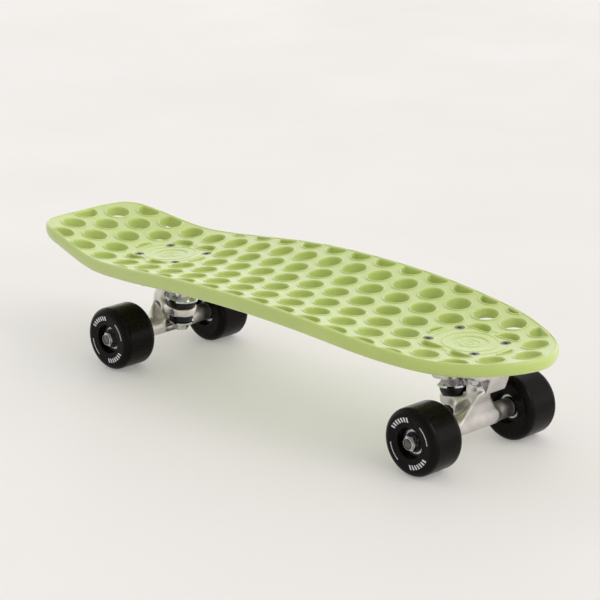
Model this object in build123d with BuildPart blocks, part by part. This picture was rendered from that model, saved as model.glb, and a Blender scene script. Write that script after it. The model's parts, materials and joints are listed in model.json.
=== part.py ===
"""Plastic cruiser skateboard, modelled as its separate pieces.

Frame: millimetres, +X towards the nose, +Z up, wheels standing on Z = 0, X = 0 at the middle of
the deck's length and Y = 0 on its centreline. Each truck is modelled once in its own frame (origin
on the floor under the axle, +X outboard) and placed twice; a wheel is modelled once and placed
four times.
"""

import math
import os

from build123d import *

os.makedirs("parts", exist_ok=True)

# ---- Driving dimensions, mm ----------------------------------------------------------------
WHEELBASE = 405.5
AXLE_MID_X = 27.3            # middle of the wheelbase, ahead of the middle of the deck

# Deck
DECK_THICKNESS = 13.3        # moulded depth in the middle and at the rim
DECK_TAIL_X = -313.3
DECK_NOSE_X = 313.3
CONCAVE_HALF_WIDTH = 100.0   # half of the chord over which the concave is measured
CONCAVE_RISE = 9.9           # rise of the concave at that half width
CONCAVE_STEPS = 4
TOP_STATIONS = 40
WELL_R = 11.6
WELL_PITCH = 33.17
WELL_ROW = WELL_PITCH * math.sqrt(3) / 2
WELL_ORIGIN_X = AXLE_MID_X + 0.5
WELL_MARGIN = 5.4            # solid border between the wells and the outline
WELL_MIN_AREA = 22.0         # clipped wells smaller than this are left solid
WELL_LAST_ROW = 3
PAD_CELLS = 6                # truck pads are centred this many pitches from the lattice origin
PAD_LENGTH = 80.0
PAD_WIDTH = 58.0
PAD_BOTTOM_Z = 86.0
PAD_CORNER_R = 9.0
BADGE_R = 16.5
BADGE_SEATS_Z = (101.6, 101.9)   # flat round badge seats, tail and nose, just under the deck's top

# Centreline of the deck's top: (distance ahead of the wheelbase middle, height)
TOP_LINE = [
    (-342.0, 121.3), (-290.0, 112.2), (-260.0, 106.3), (-232.0, 102.3), (-198.0, 102.5),
    (-160.0, 104.9), (-100.0, 109.7), (0.0, 112.9), (100.0, 109.5), (150.0, 105.5),
    (195.0, 102.9), (232.0, 102.6), (262.0, 105.8), (288.0, 109.7),
]
# Half of the outline: (distance ahead of the wheelbase middle, half width), tail to nose
OUTLINE = [
    (-340.2, 18.0), (-337.5, 36.0), (-331.0, 51.0), (-317.0, 61.5), (-295.0, 67.0),
    (-250.0, 74.4), (-200.0, 80.8), (-130.0, 87.6), (-60.0, 91.6), (0.0, 92.3), (60.0, 92.3),
    (120.0, 91.0), (160.0, 87.8), (195.0, 81.3), (225.0, 70.0), (248.0, 56.5), (266.0, 41.0),
    (279.0, 23.0), (285.0, 8.0),
]

# Truck mounting bolts, 10-32 countersunk
BOLT_SPACING_X = 54.0
BOLT_SPACING_Y = 41.3
BOLT_OFFSET = -7.4           # pattern centre, inboard of the axle
BOLT_R = 2.4
BOLT_HOLE_R = 2.6
BOLT_HEAD_R = 4.75
BOLT_HEAD_H = 2.6
BOLT_TOP_Z = 102.7
BOLT_LENGTH = 28.5
BOLT_NUT_AF = 9.5
BOLT_NUT_H = 4.2
SOCKET_AF = 3.2
SOCKET_DEPTH = 1.8

# Truck
AXLE_Z = 31.05
AXLE_R = 3.97
AXLE_HALF_LENGTH = 83.4
PLATE_LENGTH = 78.0
PLATE_WIDTH = 54.0
PLATE_T = 6.0
PLATE_CORNER_R = 9.0
STEER_ANGLE = 35.3           # steering axis above the horizontal
KINGPIN_TILT = 7.0           # kingpin's lower end leans outboard
RING_X = -18.5
RING_Z = 49.0
RING_R = 15.0
RING_HALF_T = 4.3
RING_HOLE_R = 7.6
KINGPIN_R = 4.75
KINGPIN_HOLE_R = 4.85
KINGPIN_HEAD_R = 7.6
KINGPIN_HEAD_H = 5.0
UPPER_BUSHING_R = 14.0
LOWER_BUSHING_R = 11.3
UPPER_BUSHING_H = 9.2
LOWER_BUSHING_H = 7.4
SEAT_GAP = 0.1               # between a bushing and the ring, at rest
WASHER_T = 2.0
CUP_H = 5.4                  # crown of the upper cup washer
UPPER_WASHER_R = 16.6
LOWER_WASHER_R = 12.2
CUP_DEPTH = 2.0
NUT_AF = 14.3
NUT_H = 6.6
BOSS_HALF_WIDTH = 17.0
BOSS_LENGTH = 28.6
BOSS_SHIFT = -1.2            # the boss stands back from the hanger's pivot arm
BOSS_CORNER_R = 7.0
PIVOT_HALF_WIDTH = 13.0
PIVOT_MOUTH = 46.1           # along the steering axis from the ring's centre
PIVOT_BORE_R = 6.5
PIVOT_BORE_DEPTH = 7.0
PIVOT_NOSE_R = 4.7
BARREL_R = 9.0
BARREL_END_R = 8.2
HANGER_HALF_LENGTH = 49.55
BARREL_WAIST = 30.0          # the barrel tapers outside this half length
PLATE_EDGE_R = 1.5
BOSS_DRAFT = 6.0             # degrees
HEAD_DEPTH = 11.0            # from the boss's face up to the kingpin's head
HOUSING_DROP = 13.8          # housing's lower lip below the pivot bore's centre
HOUSING_RISE = 5.0           # and its upper lip above it
HOUSING_OVERHANG = 2.5       # housing's foot beyond the plate's end
RIB_HALF_T = 5.0
NUT_ROOM = 1.2               # clearance round the bolts' nuts
# Corners of the hanger's web: side view (X, Z), plan (X, Y) and front view (Y, Z)
WEB_SIDE = [
    (-22, 45.2), (-14, 43.5), (-7, 35), (-5, 26), (0, 22.45), (7, 25.5), (9, 34), (11.5, 50),
    (15.5, 61), (9, 66), (-1, 57), (-9, 52.6), (-22, 52.6),
]
WEB_PLAN = [
    (-24, -13), (-24, 13), (-8, 14), (2, 26), (16, 26), (16, -26), (2, -26), (-8, -14),
]
WEB_FRONT = [
    (-25, 15), (25, 15), (25, 36), (18, 45), (12, 53), (7, 62), (6, 72), (-6, 72), (-7, 62),
    (-12, 53), (-18, 45), (-25, 36),
]

# Wheel and 608 bearing
WHEEL_R = 31.05
WHEEL_HALF_WIDTH = 19.0
WHEEL_Y = 62.55
WHEEL_LIP_R = 6.2
WHEEL_FACE_R = 25.0
HUB_R = 14.2
CORE_R = 15.0
CORE_HALF_WIDTH = 12.0
CORE_BORE_R = 9.6
BEARING_R = 11.0
BEARING_W = 7.0
BEARING_BORE_R = 4.0
SPACER_HALF = 5.0
OUTER_RING_IN_R = 9.4
INNER_RING_OUT_R = 6.1
BALL_R = 1.98
BALL_PITCH_R = 7.75
BALL_COUNT = 7
RACE_CLEARANCE = 0.05
SHIELD_T = 0.4
SPEED_WASHER_T = 1.0
SPEED_WASHER_R = 6.0
AXLE_NUT_AF = 12.7
AXLE_NUT_H = 7.3
COLLAR_R = 5.7
INSERT_R = 4.9
INSERT_H = 2.0


def save(part, node):
    """Label one finished piece and write it as its own STEP file."""
    part.label = node
    export_step(part, f"parts/{node}.step")


# ---- Deck ----------------------------------------------------------------------------------
top_points = [(AXLE_MID_X + x, 0, z) for x, z in TOP_LINE]
left_side = [(AXLE_MID_X + x, y) for x, y in OUTLINE]
right_side = [(x, -y) for x, y in reversed(left_side)]

with BuildLine() as top_line:
    Spline(*top_points)

with BuildSketch() as outline:
    with BuildLine():
        Spline((DECK_TAIL_X, 0), *left_side, (DECK_NOSE_X, 0), *right_side, periodic=True)
    make_face()


def inside_outline(distance, sides=48):
    """Flat-sided loop at this distance inside the outline."""
    edge = outline.sketch.faces()[0].outer_wire()
    corners = []
    for step in range(sides):
        point = edge.position_at(step / sides)
        along = edge.tangent_at(step / sides)
        inward = Vector(-along.Y, along.X)
        if (point + inward).length > point.length:
            inward = -inward
        corners.append(point + inward * distance)
    with BuildSketch() as loop:
        with BuildLine():
            Polyline(*corners, close=True)
        make_face()
    return loop.sketch


def top_surface():
    """The deck's top: the centreline's heights plus a concave that rises with the square of Y."""
    grid = []
    for station in range(TOP_STATIONS):
        centre = top_line.line @ (station / (TOP_STATIONS - 1))
        rib = []
        for step in range(-CONCAVE_STEPS, CONCAVE_STEPS + 1):
            share = step / CONCAVE_STEPS
            rib.append((centre.X, share * CONCAVE_HALF_WIDTH, centre.Z + CONCAVE_RISE * share**2))
        grid.append(rib)
    return Face.make_surface_from_array_of_points(grid, tol=0.001)


pad_x = [WELL_ORIGIN_X + side * PAD_CELLS * WELL_PITCH for side in (-1, 1)]
well_centres = []
for row in range(-WELL_LAST_ROW, WELL_LAST_ROW + 1):
    shift = WELL_PITCH / 2 if row % 2 else 0
    for column in range(-11, 11):
        well_centres.append((WELL_ORIGIN_X + shift + column * WELL_PITCH, row * WELL_ROW))

with BuildSketch() as wells:
    with Locations(*well_centres):
        Circle(WELL_R)
    add(inside_outline(WELL_MARGIN), mode=Mode.INTERSECT)
    with Locations(*[(x, 0) for x in pad_x]):
        RectangleRounded(PAD_LENGTH, PAD_WIDTH, PAD_CORNER_R, mode=Mode.SUBTRACT)

open_wells = [face for face in wells.sketch.faces() if face.area > WELL_MIN_AREA]

bolt_centres = []
for side in (-1, 1):
    centre = AXLE_MID_X + side * (WHEELBASE / 2 + BOLT_OFFSET)
    for dx in (-BOLT_SPACING_X / 2, BOLT_SPACING_X / 2):
        for dy in (-BOLT_SPACING_Y / 2, BOLT_SPACING_Y / 2):
            bolt_centres.append((centre + dx, dy))

with BuildPart() as deck:
    extrude(top_surface(), amount=DECK_THICKNESS, dir=(0, 0, -1))
    extrude(outline.sketch, amount=200, mode=Mode.INTERSECT)
    extrude(open_wells, amount=200, mode=Mode.SUBTRACT)
    with BuildSketch(Plane.XY.offset(PAD_BOTTOM_Z)) as pads:
        with Locations(*[(x, 0) for x in pad_x]):
            RectangleRounded(PAD_LENGTH - 1, PAD_WIDTH - 1, PAD_CORNER_R)
    extrude(amount=10)
    with Locations(*[(x, y, BOLT_TOP_Z) for x, y in bolt_centres]):
        CounterSinkHole(radius=BOLT_HOLE_R, counter_sink_radius=BOLT_HEAD_R + 0.1, depth=60)
    for x, z in zip(pad_x, BADGE_SEATS_Z):
        with BuildSketch(Plane.XY.offset(z)):
            with Locations((x, 0)):
                Circle(BADGE_R)
        extrude(amount=20, mode=Mode.SUBTRACT)
save(deck.part, "deck")

# ---- Truck, in its own frame: origin on the floor under the axle, +X outboard, +Z up --------
steer = math.radians(STEER_ANGLE)
tilt = math.radians(KINGPIN_TILT)
RING_CENTRE = Vector(RING_X, 0, RING_Z)
steer_axis = Plane(origin=RING_CENTRE, x_dir=(0, 1, 0), z_dir=(math.cos(steer), 0, math.sin(steer)))
kingpin_axis = Plane(origin=RING_CENTRE, x_dir=(math.cos(tilt), 0, math.sin(tilt)),
                     z_dir=(-math.sin(tilt), 0, math.cos(tilt)))
axle_axis = Plane(origin=(0, 0, AXLE_Z), x_dir=(1, 0, 0), z_dir=(0, 1, 0))


def on(plane, distance):
    """Plane parallel to one of the axes' planes, this far along its normal."""
    return plane.offset(distance)


# heights along the kingpin from the ring's centre
upper_bushing_s = RING_HALF_T + SEAT_GAP
upper_washer_s = upper_bushing_s + UPPER_BUSHING_H
boss_s = upper_washer_s + CUP_H
lower_bushing_s = -RING_HALF_T - SEAT_GAP - LOWER_BUSHING_H
lower_washer_s = lower_bushing_s - WASHER_T
nut_s = lower_washer_s - NUT_H
kingpin_end_s = nut_s - 1.4
kingpin_head_s = boss_s + HEAD_DEPTH

# pivot housing: corners of its side profile, from the mouth of the bore
mouth_dir = Vector(-math.sin(steer), 0, math.cos(steer))
mouth_centre = RING_CENTRE + steer_axis.z_dir * PIVOT_MOUTH
mouth_low = mouth_centre - mouth_dir * HOUSING_DROP
mouth_high = mouth_centre + mouth_dir * HOUSING_RISE
plate_bottom_z = PAD_BOTTOM_Z - PLATE_T
housing_x = BOLT_OFFSET + PLATE_LENGTH / 2 + HOUSING_OVERHANG

with BuildPart() as baseplate:
    with BuildSketch(Plane.XY.offset(plate_bottom_z)):
        with Locations((BOLT_OFFSET, 0)):
            RectangleRounded(PLATE_LENGTH, PLATE_WIDTH, PLATE_CORNER_R)
    extrude(amount=PLATE_T)
    fillet(baseplate.faces().sort_by(Axis.Z)[0].edges(), PLATE_EDGE_R)
    # kingpin boss, drafted towards the bushing
    with BuildSketch(on(kingpin_axis, boss_s)):
        with Locations((BOSS_SHIFT, 0)):
            RectangleRounded(BOSS_LENGTH, 2 * BOSS_HALF_WIDTH, BOSS_CORNER_R)
    extrude(amount=20, taper=-BOSS_DRAFT)
    # pivot housing
    with BuildSketch(Plane.XZ):
        with BuildLine():
            Polyline((mouth_high.X - 1, plate_bottom_z + 2), (mouth_high.X, mouth_high.Z),
                     (mouth_low.X, mouth_low.Z), (housing_x, plate_bottom_z + 3),
                     (housing_x, PAD_BOTTOM_Z), (mouth_high.X - 1, PAD_BOTTOM_Z), close=True)
        make_face()
    extrude(amount=PIVOT_HALF_WIDTH, both=True)
    # rib along the middle between the boss and the housing
    with BuildSketch(Plane.XZ):
        with BuildLine():
            Polyline((-10, plate_bottom_z + 1), (-8, plate_bottom_z - 5),
                     (mouth_high.X + 1, mouth_high.Z + 0.5), (mouth_high.X + 1, plate_bottom_z + 1),
                     close=True)
        make_face()
    extrude(amount=RIB_HALF_T, both=True)
    with BuildSketch(Plane.XY.offset(PAD_BOTTOM_Z)):
        Rectangle(200, 200)
    extrude(amount=60, mode=Mode.SUBTRACT)
    # bores
    with BuildSketch(on(steer_axis, PIVOT_MOUTH - 8)):
        Circle(PIVOT_BORE_R)
    extrude(amount=8 + PIVOT_BORE_DEPTH, mode=Mode.SUBTRACT)
    with BuildSketch(on(steer_axis, PIVOT_MOUTH - 12)):
        Circle(PIVOT_BORE_R + 1.2)
    extrude(amount=11, mode=Mode.SUBTRACT)
    with BuildSketch(on(kingpin_axis, boss_s - 1)):
        Circle(KINGPIN_HOLE_R)
    extrude(amount=60, mode=Mode.SUBTRACT)
    with BuildSketch(on(kingpin_axis, kingpin_head_s)):
        Circle(KINGPIN_HEAD_R + 0.1)
    extrude(amount=30, mode=Mode.SUBTRACT)
    with BuildSketch(Plane.XY.offset(plate_bottom_z - 2)):
        with Locations((BOLT_OFFSET, 0)):
            with GridLocations(BOLT_SPACING_X, BOLT_SPACING_Y, 2, 2):
                Circle(BOLT_HOLE_R + 0.1)
    extrude(amount=20, mode=Mode.SUBTRACT)
    # room for the bolts' nuts beside the boss
    with BuildSketch(Plane.XY.offset(plate_bottom_z)):
        with Locations((BOLT_OFFSET, 0)):
            with GridLocations(BOLT_SPACING_X, BOLT_SPACING_Y, 2, 2):
                Circle(BOLT_NUT_AF / 2 + NUT_ROOM)
    extrude(amount=-30, mode=Mode.SUBTRACT)

with BuildPart() as pivot_cup:
    with BuildSketch(on(steer_axis, PIVOT_MOUTH - 0.8)):
        Circle(PIVOT_BORE_R - 0.02)
    extrude(amount=PIVOT_BORE_DEPTH + 0.78)
    with BuildSketch(on(steer_axis, PIVOT_MOUTH - 1)):
        Circle(PIVOT_NOSE_R + 0.3)
    extrude(amount=PIVOT_BORE_DEPTH - 0.4, mode=Mode.SUBTRACT)

with BuildPart() as kingpin:
    with BuildSketch(on(kingpin_axis, kingpin_end_s)):
        Circle(KINGPIN_R)
    extrude(amount=kingpin_head_s - kingpin_end_s + 1)
    with BuildSketch(on(kingpin_axis, kingpin_head_s + 0.05)):
        Circle(KINGPIN_HEAD_R)
    extrude(amount=KINGPIN_HEAD_H)
    chamfer(kingpin.faces().sort_by(Axis.Z)[0].edges(), 0.8)

with BuildPart() as kingpin_nut:
    with BuildSketch(on(kingpin_axis, nut_s)):
        RegularPolygon(NUT_AF / 2, 6, major_radius=False)
        Circle(KINGPIN_HOLE_R, mode=Mode.SUBTRACT)
    extrude(amount=NUT_H - 0.02)


def bushing_profile(radius, height, belly):
    """Half section of a barrel bushing standing on the sketch plane's X axis."""
    with BuildSketch() as half:
        with BuildLine():
            foot = Line((KINGPIN_HOLE_R + 0.1, 0), (radius - 0.8, 0))
            side = ThreePointArc(foot @ 1, (radius + belly, height / 2), (radius - 0.8, height))
            head = Line(side @ 1, (KINGPIN_HOLE_R + 0.1, height))
            Line(head @ 1, foot @ 0)
        make_face()
    return half.sketch


def upright(start):
    """Plane through the kingpin's axis for revolved profiles: X outwards, Y up the kingpin."""
    foot = RING_CENTRE + kingpin_axis.z_dir * start
    return Plane(origin=foot, x_dir=(0, 1, 0), z_dir=kingpin_axis.x_dir)


kingpin_line = Axis(RING_CENTRE, kingpin_axis.z_dir)

with BuildPart() as upper_bushing:
    with BuildSketch(upright(upper_bushing_s)):
        add(bushing_profile(UPPER_BUSHING_R, UPPER_BUSHING_H - 0.02, 0.6))
    revolve(axis=kingpin_line)

with BuildPart() as lower_bushing:
    with BuildSketch(upright(lower_bushing_s)):
        add(bushing_profile(LOWER_BUSHING_R, LOWER_BUSHING_H, 0.4))
    revolve(axis=kingpin_line)

with BuildPart() as upper_washer:
    with BuildSketch(upright(upper_washer_s)):
        with BuildLine():
            Polyline((KINGPIN_HOLE_R, 0), (UPPER_BUSHING_R + 0.1, 0),
                     (UPPER_BUSHING_R + 0.6, -CUP_DEPTH), (UPPER_WASHER_R, -CUP_DEPTH),
                     (UPPER_WASHER_R, -CUP_DEPTH + 1.7), (11, CUP_H - 0.02),
                     (KINGPIN_HOLE_R, CUP_H - 0.02), close=True)
        make_face()
    revolve(axis=kingpin_line)

with BuildPart() as lower_washer:
    with BuildSketch(upright(lower_washer_s)):
        with BuildLine():
            Polyline((KINGPIN_HOLE_R, 0), (LOWER_WASHER_R - 0.5, 0), (LOWER_WASHER_R, 0.5),
                     (LOWER_WASHER_R, WASHER_T - 0.02), (KINGPIN_HOLE_R, WASHER_T - 0.02),
                     close=True)
        make_face()
    revolve(axis=kingpin_line)

# hanger: barrel, ring, web and pivot arm are cast in one piece
with BuildPart() as barrel:
    with BuildSketch(Plane.YZ):
        with BuildLine():
            Polyline((0, AXLE_Z), (0, AXLE_Z + BARREL_R), (BARREL_WAIST, AXLE_Z + BARREL_R),
                     (HANGER_HALF_LENGTH - 4, AXLE_Z + BARREL_END_R + 0.3),
                     (HANGER_HALF_LENGTH, AXLE_Z + BARREL_END_R), (HANGER_HALF_LENGTH, AXLE_Z),
                     close=True)
        make_face()
        mirror(about=Plane.YZ)
    revolve(axis=Axis((0, 0, AXLE_Z), (0, 1, 0)))

with BuildPart() as ring:
    with BuildSketch(on(kingpin_axis, -RING_HALF_T)):
        Circle(RING_R)
    extrude(amount=2 * RING_HALF_T)
    fillet(ring.edges(), 2)

with BuildPart() as web:
    with BuildSketch(Plane.XZ):
        with BuildLine():
            Polyline(*WEB_SIDE, close=True)
        make_face()
    extrude(amount=26, both=True)
    with BuildSketch() as plan:
        with BuildLine():
            Polyline(*WEB_PLAN, close=True)
        make_face()
    extrude(amount=90, mode=Mode.INTERSECT)
    with BuildSketch(Plane.YZ):
        with BuildLine():
            Polyline(*WEB_FRONT, close=True)
        make_face()
    extrude(amount=60, both=True, mode=Mode.INTERSECT)

with BuildPart() as pivot_arm:
    with BuildSketch(Plane(origin=RING_CENTRE, x_dir=steer_axis.z_dir, z_dir=(0, -1, 0))):
        with BuildLine():
            Polyline((12, 0), (12, 7.6), (28, 7.2), (PIVOT_MOUTH - 3.1, 6.2),
                     (PIVOT_MOUTH - 1.6, PIVOT_NOSE_R), (PIVOT_MOUTH + 2.4, PIVOT_NOSE_R),
                     (PIVOT_MOUTH + 5.1, 2.4), (PIVOT_MOUTH + 5.5, 0), close=True)
        make_face()
    revolve(axis=Axis(RING_CENTRE, steer_axis.z_dir))

with BuildPart() as hanger:
    add(barrel.part)
    add(ring.part)
    add(web.part)
    add(pivot_arm.part)
    with BuildSketch(on(kingpin_axis, -30)):
        Circle(RING_HOLE_R)
    extrude(amount=30 + RING_HALF_T + 1, mode=Mode.SUBTRACT)
    with BuildSketch(on(kingpin_axis, -RING_HALF_T - 22)):
        Circle(LOWER_WASHER_R + 2.6)
    extrude(amount=22, mode=Mode.SUBTRACT)
    with BuildSketch(on(kingpin_axis, RING_HALF_T)):
        Circle(UPPER_BUSHING_R + 2.4)
    extrude(amount=20, mode=Mode.SUBTRACT)
    with BuildSketch(on(kingpin_axis, upper_washer_s - CUP_DEPTH - 3)):
        Circle(UPPER_WASHER_R + 3)
    extrude(amount=20, mode=Mode.SUBTRACT)
    with BuildSketch(on(axle_axis, -60)):
        Circle(AXLE_R + 0.03)
    extrude(amount=120, mode=Mode.SUBTRACT)

with BuildPart() as axle:
    with BuildSketch(on(axle_axis, -AXLE_HALF_LENGTH)):
        Circle(AXLE_R)
    extrude(amount=2 * AXLE_HALF_LENGTH)
    chamfer(axle.edges(), 0.7)

# ---- Running gear on the axle: pieces of one side, axis along Y, outboard +Y, at Y = 0 in the
# middle of the wheel
inner_bearing_y = -SPACER_HALF - BEARING_W
outer_bearing_y = SPACER_HALF
bearing_starts = (inner_bearing_y, outer_bearing_y)
WHEEL_AXIS = Axis((0, 0, 0), (0, 1, 0))
section = Plane(origin=(0, 0, 0), x_dir=(1, 0, 0), z_dir=(0, 0, 1))


def turned(outline_points):
    """Face of a half section: X is the radius and Y the place along the axle."""
    with BuildSketch(section) as half:
        with BuildLine():
            Polyline(*outline_points, close=True)
        make_face()
    return half.sketch


with BuildPart() as tyre:
    face_y = WHEEL_HALF_WIDTH
    with BuildSketch(section):
        with BuildLine():
            bottom = Line((CORE_R, -CORE_HALF_WIDTH), (CORE_R, CORE_HALF_WIDTH))
            recess = Line(bottom @ 1, (HUB_R - 1.0, CORE_HALF_WIDTH))
            bore = Line(recess @ 1, (HUB_R, face_y - 1.4))
            edge = ThreePointArc(bore @ 1, (HUB_R + 0.4, face_y - 0.7), (HUB_R + 1.4, face_y - 0.5))
            face = Line(edge @ 1, (WHEEL_FACE_R - 1.0, face_y))
            lip = ThreePointArc(face @ 1, (WHEEL_R - 1.9, face_y - 2.0), (WHEEL_R, face_y - 7.0))
            tread = Line(lip @ 1, (WHEEL_R, 0))
            mirror(about=Plane.XZ)
        make_face()
    revolve(axis=WHEEL_AXIS)

with BuildPart() as core:
    half = CORE_HALF_WIDTH
    with BuildSketch(section):
        add(turned([(BEARING_R + 0.02, -half), (CORE_R - 0.02, -half), (CORE_R - 0.02, half),
                    (BEARING_R + 0.02, half), (BEARING_R + 0.02, SPACER_HALF),
                    (CORE_BORE_R, SPACER_HALF - 0.02), (CORE_BORE_R, -SPACER_HALF + 0.02),
                    (BEARING_R + 0.02, -SPACER_HALF)]))
    revolve(axis=WHEEL_AXIS)


def ring_profile(start, inner_r, outer_r, race_r):
    """Half section of one bearing ring with a groove for the balls."""
    middle = start + BEARING_W / 2
    groove_r = BALL_R + RACE_CLEARANCE
    with BuildSketch() as half:
        with Locations(((inner_r + outer_r) / 2, middle)):
            Rectangle(outer_r - inner_r, BEARING_W)
        with Locations((race_r, middle)):
            Circle(groove_r, mode=Mode.SUBTRACT)
    return half.sketch


with BuildPart() as outer_rings:
    with BuildSketch(section):
        for start in bearing_starts:
            add(ring_profile(start, OUTER_RING_IN_R, BEARING_R, BALL_PITCH_R))
    revolve(axis=WHEEL_AXIS)

with BuildPart() as inner_rings:
    with BuildSketch(section):
        for start in bearing_starts:
            add(ring_profile(start, BEARING_BORE_R, INNER_RING_OUT_R, BALL_PITCH_R))
    revolve(axis=WHEEL_AXIS)

with BuildPart() as balls:
    for start in bearing_starts:
        ball_plane = Plane(origin=(0, start + BEARING_W / 2, 0), x_dir=(1, 0, 0), z_dir=(0, 1, 0))
        with Locations(ball_plane):
            with PolarLocations(BALL_PITCH_R, BALL_COUNT):
                Sphere(BALL_R)

shield_r = (OUTER_RING_IN_R + INNER_RING_OUT_R + 0.3) / 2
shield_y = BEARING_W / 2 - 0.3 - SHIELD_T / 2
with BuildPart() as shields:
    with BuildSketch(section):
        for start in bearing_starts:
            for middle in (start + BEARING_W / 2 - shield_y, start + BEARING_W / 2 + shield_y):
                with Locations((shield_r, middle)):
                    Rectangle(OUTER_RING_IN_R - INNER_RING_OUT_R - 0.4, SHIELD_T)
    revolve(axis=WHEEL_AXIS)

washer_r = (BEARING_BORE_R + SPEED_WASHER_R) / 2
nut_y = outer_bearing_y + BEARING_W + SPEED_WASHER_T
with BuildPart() as spacer:
    with BuildSketch(section):
        with Locations((washer_r, 0)):
            Rectangle(SPEED_WASHER_R - BEARING_BORE_R - 0.1, 2 * SPACER_HALF - 0.04)
    revolve(axis=WHEEL_AXIS)

with BuildPart() as speed_washers:
    with BuildSketch(section):
        for middle in (inner_bearing_y - SPEED_WASHER_T / 2, nut_y - SPEED_WASHER_T / 2):
            with Locations((washer_r, middle)):
                Rectangle(SPEED_WASHER_R - BEARING_BORE_R - 0.1, SPEED_WASHER_T - 0.04)
    revolve(axis=WHEEL_AXIS)

nut_foot = Plane(origin=(0, nut_y, 0), x_dir=(1, 0, 0), z_dir=(0, 1, 0))
insert_foot = on(nut_foot, AXLE_NUT_H - INSERT_H)
with BuildPart() as axle_nut:
    with BuildSketch(nut_foot):
        RegularPolygon(AXLE_NUT_AF / 2, 6, major_radius=False)
    extrude(amount=AXLE_NUT_H - INSERT_H)
    with BuildSketch(nut_foot):
        Circle(COLLAR_R)
    extrude(amount=AXLE_NUT_H)
    chamfer(axle_nut.faces().sort_by(Axis.Y)[-1].edges(), 0.5)
    with BuildSketch(nut_foot):
        Circle(AXLE_R + 0.02)
    extrude(amount=AXLE_NUT_H, mode=Mode.SUBTRACT)
    with BuildSketch(insert_foot):
        Circle(INSERT_R)
    extrude(amount=INSERT_H, mode=Mode.SUBTRACT)

with BuildPart() as nut_insert:
    with BuildSketch(on(insert_foot, 0.02)):
        Circle(INSERT_R - 0.02)
        Circle(AXLE_R + 0.02, mode=Mode.SUBTRACT)
    extrude(amount=INSERT_H - 0.3)

# ---- Truck bolts and their nuts ---------------------------------------------------------------
with BuildPart() as truck_bolts:
    with Locations((BOLT_OFFSET, 0, BOLT_TOP_Z)):
        with GridLocations(BOLT_SPACING_X, BOLT_SPACING_Y, 2, 2):
            Cylinder(BOLT_R, BOLT_LENGTH, align=(Align.CENTER, Align.CENTER, Align.MAX))
            Cone(BOLT_R, BOLT_HEAD_R, BOLT_HEAD_H, align=(Align.CENTER, Align.CENTER, Align.MAX))
            Cylinder(SOCKET_AF / 2, SOCKET_DEPTH, align=(Align.CENTER, Align.CENTER, Align.MAX),
                     mode=Mode.SUBTRACT)

with BuildPart() as bolt_nuts:
    with BuildSketch(Plane.XY.offset(plate_bottom_z - BOLT_NUT_H)):
        with Locations((BOLT_OFFSET, 0)):
            with GridLocations(BOLT_SPACING_X, BOLT_SPACING_Y, 2, 2):
                RegularPolygon(BOLT_NUT_AF / 2, 6, major_radius=False)
                Circle(BOLT_R + 0.02, mode=Mode.SUBTRACT)
    extrude(amount=BOLT_NUT_H - 0.02)

# ---- Placing the trucks and the wheels --------------------------------------------------------
truck_pieces = {
    "baseplate": baseplate, "pivot_cup": pivot_cup, "kingpin": kingpin, "kingpin_nut": kingpin_nut,
    "upper_bushing": upper_bushing, "lower_bushing": lower_bushing, "upper_washer": upper_washer,
    "lower_washer": lower_washer, "hanger": hanger, "axle": axle, "truck_bolts": truck_bolts,
    "bolt_nuts": bolt_nuts,
}
axle_pieces = {
    "bearing_inner_rings": inner_rings, "bearing_spacers": spacer, "speed_washers": speed_washers,
    "axle_nuts": axle_nut, "axle_nut_inserts": nut_insert,
}
wheel_pieces = {
    "tyre": tyre, "core": core, "bearing_outer_rings": outer_rings, "bearing_balls": balls,
    "bearing_shields": shields,
}
truck_places = {
    "front": Location((AXLE_MID_X + WHEELBASE / 2, 0, 0)),
    "rear": Location((AXLE_MID_X - WHEELBASE / 2, 0, 0), (0, 0, 180)),
}
wheel_places = {
    "left": Location((0, WHEEL_Y, AXLE_Z)),
    "right": Location((0, -WHEEL_Y, AXLE_Z), (0, 0, 180)),
}
for end, truck_place in truck_places.items():
    for name, piece in truck_pieces.items():
        save(truck_place * piece.part, f"{end}_{name}")
    for name, piece in axle_pieces.items():
        both = [truck_place * place * piece.part for place in wheel_places.values()]
        solids = [solid for part in both for solid in part.solids()]
        save(Compound(children=solids), f"{end}_{name}")
    for side, place in wheel_places.items():
        # a wheel keeps its own side: only its X follows the truck
        along = Location((truck_place.position.X, place.position.Y, AXLE_Z), place.orientation)
        for name, piece in wheel_pieces.items():
            save(along * piece.part, f"{end}_{side}_{name}")
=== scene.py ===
"""Looks of a small moulded-plastic cruiser skateboard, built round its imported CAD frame."""

import json
import math

import bmesh
import bpy
import numpy as np
from mathutils import Matrix, Vector, geometry


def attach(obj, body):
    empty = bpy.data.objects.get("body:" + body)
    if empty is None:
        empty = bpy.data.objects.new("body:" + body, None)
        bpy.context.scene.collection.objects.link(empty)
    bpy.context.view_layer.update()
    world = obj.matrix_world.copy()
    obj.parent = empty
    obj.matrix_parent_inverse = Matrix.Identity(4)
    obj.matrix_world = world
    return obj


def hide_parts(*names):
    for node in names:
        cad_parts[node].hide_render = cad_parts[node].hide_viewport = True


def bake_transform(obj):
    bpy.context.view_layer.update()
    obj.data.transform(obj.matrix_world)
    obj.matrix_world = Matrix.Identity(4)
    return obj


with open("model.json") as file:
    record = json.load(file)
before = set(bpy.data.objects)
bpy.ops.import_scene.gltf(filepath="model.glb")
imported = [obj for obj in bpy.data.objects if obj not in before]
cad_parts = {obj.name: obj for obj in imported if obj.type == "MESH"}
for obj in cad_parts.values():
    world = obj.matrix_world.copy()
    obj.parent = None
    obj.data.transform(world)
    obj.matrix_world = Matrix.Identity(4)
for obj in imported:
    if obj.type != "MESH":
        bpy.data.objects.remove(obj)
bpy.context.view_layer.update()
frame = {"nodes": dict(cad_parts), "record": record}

# Driving sizes in millimetres; MM turns them into the scene's metres
MM = 0.001
WHEELBASE = 405.5
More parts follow.
